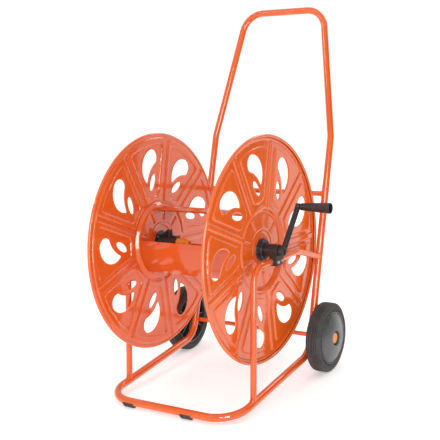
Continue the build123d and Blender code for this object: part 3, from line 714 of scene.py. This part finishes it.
def arm_section(u):
    """The arm's outline across its length, as pairs of across and outwards."""
    half = 7.4 - 0.8 * u / ARM_LENGTH
    off = abs((u - ARM_START) % RUNG_PITCH - RUNG_PITCH / 2)
    rung = float(smooth((RUNG_WIDE - off) / 0.7)) * float(ARM_START + 6.0 < u < ARM_LENGTH - 12.0)
    field = FIELD_HIGH + (RUNG_HIGH - FIELD_HIGH) * rung
    quarter = [(half, EDGE_HIGH - 0.8), (half - 0.8, EDGE_HIGH), (half - EDGE_WIDE + 0.4, EDGE_HIGH)]
    quarter += [(half - EDGE_WIDE, EDGE_HIGH - 0.4), (half - EDGE_WIDE - 0.5, field)]
    front = quarter + [(-v, x) for v, x in reversed(quarter)]
    return front + [(-v, -x) for v, x in front]


def ladder_arm():
    """The arm as a row of sections from the lower boss to the grip."""
    points, faces = [], []
    stations = int((ARM_LENGTH - ARM_START) / 0.45)
    for k in range(stations + 1):
        u = ARM_START + (ARM_LENGTH - ARM_START) * k / stations
        for v, x in arm_section(u):
            y, z = u * cos(ARM_TURN) - v * sin(ARM_TURN), u * sin(ARM_TURN) + v * cos(ARM_TURN)
            points.append(AXIS + Vector((ARM_X + x, y, z)) * MM)
    count = len(points) // (stations + 1)
    for k in range(stations):
        here, there = k * count, (k + 1) * count
        for j in range(count):
            n = (j + 1) % count
            faces.append((here + j, here + n, there + n, there + j))
    faces.append(tuple(range(count)))
    faces.append(tuple(stations * count + j for j in reversed(range(count))))
    return points, faces


low_boss = [(205.0, 2.3), (205.0, 10.9), (205.6, 11.5), (207.6, 11.5), (208.2, 10.9), (208.9, 10.9)]
low_boss += [(209.5, 11.5), (216.4, 11.5), (217.5, 11.1), (218.0, 10.2), (218.0, 8.8), (217.2, 8.4)]
low_boss += [(217.2, 7.0), (218.0, 6.6), (218.0, 2.3)]
high_boss = [(209.0, 3.5), (209.0, 7.7), (209.7, 8.5), (218.2, 8.5), (218.8, 8.0), (221.0, 7.7)]
high_boss.append((221.0, 3.5))
points, faces = joined(ladder_arm(), lathe(AXIS, low_boss, 96), lathe(GRIP, high_boss, 72))
put("crank_arm_moulded", points, faces, "reel", black_plastic, ("crank_arm",), 30.0)

points, faces = lathe(GRIP, grip_profile(), 120, grip_relief)
put("crank_grip_moulded", points, faces, "grip", black_plastic, ("crank_grip",), 28.0)

BAR_R, BAR_Z = 9.8, 15.7
FOOT_RIBS, FOOT_SLICES, FOOT_LONG = 8, 57, 30.0
WRAP_FROM, WRAP_TURN = 186.0, 168.0


def foot_slice(t):
    """A foot's section across the bar, at a share t of its length: ribbed outside, round inside."""
    end = min(t, 1 - t) * FOOT_LONG
    rib = 0.5 + 0.5 * cos(2 * pi * t * FOOT_RIBS)
    wrap = BAR_R + 0.1 + (1.5 + 0.85 * float(smooth(rib * 1.6))) * float(smooth(end / 1.2 + 0.45))
    section = []
    for j in range(25):
        a = radians(WRAP_FROM + WRAP_TURN * j / 24)
        sole = float(smooth(1.0 - abs(j - 12) / 7.0))
        section.append((wrap * cos(a) * (1 + 0.06 * sole), max(wrap * sin(a) - 3.4 * sole, -BAR_Z)))
    for j in range(13):
        a = radians(WRAP_FROM + WRAP_TURN - WRAP_TURN * j / 12)
        section.append(((BAR_R + 0.05) * cos(a), (BAR_R + 0.05) * sin(a)))
    return section


def foot_rubber_piece(word):
    """A rubber pad clipped round the front bar, as a row of sections along it."""
    low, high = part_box(f"{word}_foot_clip")
    bar_y = (low.y + high.y) / 2 / MM
    points, faces = [], []
    for k in range(FOOT_SLICES):
        t = k / (FOOT_SLICES - 1)
        section = foot_slice(t)
        x = low.x + (high.x - low.x) * t
        points += [Vector((x, (bar_y + y) * MM, (BAR_Z + z) * MM)) for y, z in section]
    count = len(section)
    for k in range(FOOT_SLICES - 1):
        here, there = k * count, (k + 1) * count
        for j in range(count):
            n = (j + 1) % count
            faces.append((here + j, here + n, there + n, there + j))
    faces.append(tuple(range(count)))
    faces.append(tuple((FOOT_SLICES - 1) * count + j for j in reversed(range(count))))
    name, node = f"{word}_foot_rubber", f"{word}_foot_clip"
    put(name, points, faces, "cart", foot_rubber, (node,), 32.0)


foot_rubber_piece("left")
foot_rubber_piece("right")

# ---- weld beads where tubes meet -----------------------------------------------------------------
def fillet_line(start, direction, radius, main_point, main_direction, main_radius, count=96):
    """Where a branch tube's skin runs into a main tube, as points in millimetres."""
    d = Vector(direction).normalized()
    m = Vector(main_direction).normalized()
    e = d.orthogonal().normalized()
    f = d.cross(e)
    line = []
    for k in range(count):
        a = 2 * pi * k / count
        p = Vector(start) + (e * cos(a) + f * sin(a)) * radius - Vector(main_point)
        p_flat, d_flat = p - m * p.dot(m), d - m * d.dot(m)
        qa, qb = d_flat.dot(d_flat), 2 * p_flat.dot(d_flat)
        qc = p_flat.dot(p_flat) - main_radius * main_radius
        t = (-qb - max(qb * qb - 4 * qa * qc, 0.0) ** 0.5) / (2 * qa)
        line.append(p + d * t + Vector(main_point))
    return line


def weld(name, line, bead=1.7, ripple=0.28, waves=30):
    """A closed weld bead with its row of ripples along a line."""
    count = len(line)
    points, faces = [], []
    sides = 10
    for k, p in enumerate(line):
        ahead = (line[(k + 1) % count] - line[k - 1]).normalized()
        out = ahead.orthogonal().normalized()
        across = ahead.cross(out)
        size = bead + ripple * abs(sin(pi * waves * k / count)) + 0.15 * sin(5 * 2 * pi * k / count)
        for j in range(sides):
            a = 2 * pi * j / sides
            points.append((p + (out * cos(a) + across * sin(a)) * size) * MM)
    # neighbouring rings are joined at whichever turn keeps them closest
    for k in range(count):
        here, there = k * sides, (k + 1) % count * sides
        gaps = [(Vector(points[here]) - Vector(points[there + j])).length for j in range(sides)]
        shift = gaps.index(min(gaps))
        for j in range(sides):
            n = (j + 1) % sides
            faces.append((here + j, here + n, there + (n + shift) % sides, there + (j + shift) % sides))
    return put(name, points, faces, "cart", tube_paint, (), 60.0)


def frame_place(x, y, z):
    """A place in millimetres, measured from the middle plane, the reel's axis and the floor."""
    return Vector((MIDDLE_X / MM + x, AXIS.y / MM + y, z))


RAIL_X, RAIL_FRONT, RAIL_REAR = 187.0, (-230.7, 15.7), (174.8, 51.8)
SEAM = (185.0, 314.7, 495.6)
SUPPORT_X, SUPPORT_R, CROSS_R = 187.2, 8.0, 7.0
SUPPORT_FOOT, SUPPORT_CORNER = (-131.5, 24.5), (-100.0, 352.0)
SUPPORT_KINK, SUPPORT_END = (125.1, 343.1), (253.4, 299.3)
CROSS = frame_place(0, 304.3, 462.7)
for side, word in ((-1, "left"), (1, "right")):
    rail_front = frame_place(side * RAIL_X, *RAIL_FRONT)
    rail_rear = frame_place(side * RAIL_X, *RAIL_REAR)
    upright = frame_place(side * SEAM[0], *SEAM[1:]) - rail_rear
    foot, corner, kink, end = [
        frame_place(side * SUPPORT_X, *spot)
        for spot in (SUPPORT_FOOT, SUPPORT_CORNER, SUPPORT_KINK, SUPPORT_END)
    ]
    rail = rail_rear - rail_front
    line = fillet_line(corner, foot - corner, SUPPORT_R, rail_front, rail, BAR_R)
    weld(f"{word}_support_foot_weld", line)
    line = fillet_line(kink, end - kink, SUPPORT_R, rail_rear, upright, BAR_R)
    weld(f"{word}_support_end_weld", line)
    line = fillet_line(CROSS, (side, 0, 0), CROSS_R, rail_rear, upright, BAR_R)
    weld(f"{word}_cross_tube_weld", line, 1.5)

# ---- light, floor and camera ---------------------------------------------------------------------
world = bpy.data.worlds.new("studio")
scene.world = world
world.use_nodes = True
sky = world.node_tree
background = sky.nodes["Background"]
direction = sky.nodes.new("ShaderNodeTexCoord").outputs["Generated"]
split = sky.nodes.new("ShaderNodeSeparateXYZ")
sky.links.new(direction, split.inputs[0])
ramp = sky.nodes.new("ShaderNodeValToRGB")
span = sky.nodes.new("ShaderNodeMapRange")
span.inputs["From Min"].default_value = -1.0
sky.links.new(split.outputs["Z"], span.inputs["Value"])
sky.links.new(span.outputs["Result"], ramp.inputs[0])
SKY = ((0.0, 0.9), (0.49, 1.0), (0.56, 1.0), (0.66, 0.62), (0.8, 0.5), (0.88, 0.9), (1.0, 1.0))
while len(ramp.color_ramp.elements) < len(SKY):
    ramp.color_ramp.elements.new(0.5)
for stop, (place, grey) in zip(ramp.color_ramp.elements, SKY):
    stop.position = place
    stop.color = (grey, grey, grey, 1.0)
sky.links.new(ramp.outputs["Color"], background.inputs["Color"])
background.inputs["Strength"].default_value = 1.02


def area_light(name, place, target, size, power):
    """A rectangular soft light, in metres and watts, aimed at a target."""
    data = bpy.data.lights.new(name, "AREA")
    data.shape = "RECTANGLE"
    data.size, data.size_y = size
    data.energy = power
    light = bpy.data.objects.new(name, data)
    light.location = place
    light.rotation_euler = (Vector(target) - Vector(place)).to_track_quat("-Z", "Y").to_euler()
    scene.collection.objects.link(light)
    return light


area_light("key", (-1.3, -2.6, 2.9), (0, -0.05, 0.4), (1.5, 0.16), 14)
area_light("front", (1.5, -3.0, 1.5), (-0.1, 0, 0.4), (0.4, 1.2), 30)
area_light("rear", (0.5, 2.8, 2.4), (0, 0, 0.4), (2.2, 0.8), 18)
# a strip beside the camera that only glossy paint picks up, as bright lines along the tubes
strip = area_light("strip", (1.12, -1.25, 0.62), (0, 0, 0.62), (0.42, 1.2), 22)
strip.visible_camera = False
strip.visible_diffuse = False

floor_mesh = bpy.data.meshes.new("floor")
FLOOR_R, FLOOR_SIDES = 14.0, 96
turns = [2 * pi * k / FLOOR_SIDES for k in range(FLOOR_SIDES)]
ring_points = [(FLOOR_R * cos(a), FLOOR_R * sin(a), 0.0) for a in turns]
floor_mesh.from_pydata(ring_points, [], [list(range(FLOOR_SIDES))])
floor = bpy.data.objects.new("floor", floor_mesh)
scene.collection.objects.link(floor)
pale = Nodes("pale_floor", (0.93, 0.93, 0.93), 0.8)
pale.set("Base Color", pale.mix(pale.noise(3.0), (0.94, 0.94, 0.94), (0.92, 0.92, 0.92)))
floor.data.materials.append(pale.material)
pale.shader.inputs["Emission Color"].default_value = (1.0, 1.0, 1.0, 1.0)
pale.shader.inputs["Emission Strength"].default_value = 0.32

# a dark studio flag beside the cart: only reflections meet it
flag_mesh = bpy.data.meshes.new("dark_flag")
FLAG_X, FLAG_NEAR, FLAG_FAR, FLAG_TOP = 0.75, 0.1, 1.06, 1.2
flag_mesh.from_pydata([
    (FLAG_X, FLAG_NEAR, 0.0),
    (FLAG_X, FLAG_FAR, 0.0),
    (FLAG_X, FLAG_FAR, FLAG_TOP),
    (FLAG_X, FLAG_NEAR, FLAG_TOP),
], [], [(0, 1, 2, 3)])
flag = bpy.data.objects.new("dark_flag", flag_mesh)
scene.collection.objects.link(flag)
velvet = Nodes("flag_velvet", (0.02, 0.02, 0.02), 1.0)
velvet.set("Base Color", velvet.mix(velvet.noise(5.0), (0.03, 0.03, 0.03), (0.015, 0.015, 0.015)))
flag.data.materials.append(velvet.material)
for ray in ("camera", "diffuse", "shadow", "transmission"):
    setattr(flag, f"visible_{ray}", False)

AZIMUTH, ELEVATION, ROLL = radians(32.4023), radians(11.1738), radians(-3.0281)
DISTANCE, LENS, AIM = 2.2687, 73.47, Vector((36.34, 0.0, 67.8))
back = Vector((sin(AZIMUTH) * cos(ELEVATION), -cos(AZIMUTH) * cos(ELEVATION), sin(ELEVATION)))
level = Vector((cos(AZIMUTH), sin(AZIMUTH), 0.0))
up = back.cross(level)
right = level * cos(ROLL) + up * sin(ROLL)
upward = up * cos(ROLL) - level * sin(ROLL)
target = AXIS + AIM * MM
camera = bpy.data.objects.new("camera", bpy.data.cameras.new("camera"))
camera.data.lens = LENS
camera.data.clip_end = 100
turn = Matrix((right, upward, back)).transposed().to_4x4()
camera.matrix_world = Matrix.Translation(target + back * DISTANCE) @ turn
scene.collection.objects.link(camera)
scene.camera = camera
scene.view_settings.view_transform = "Standard"
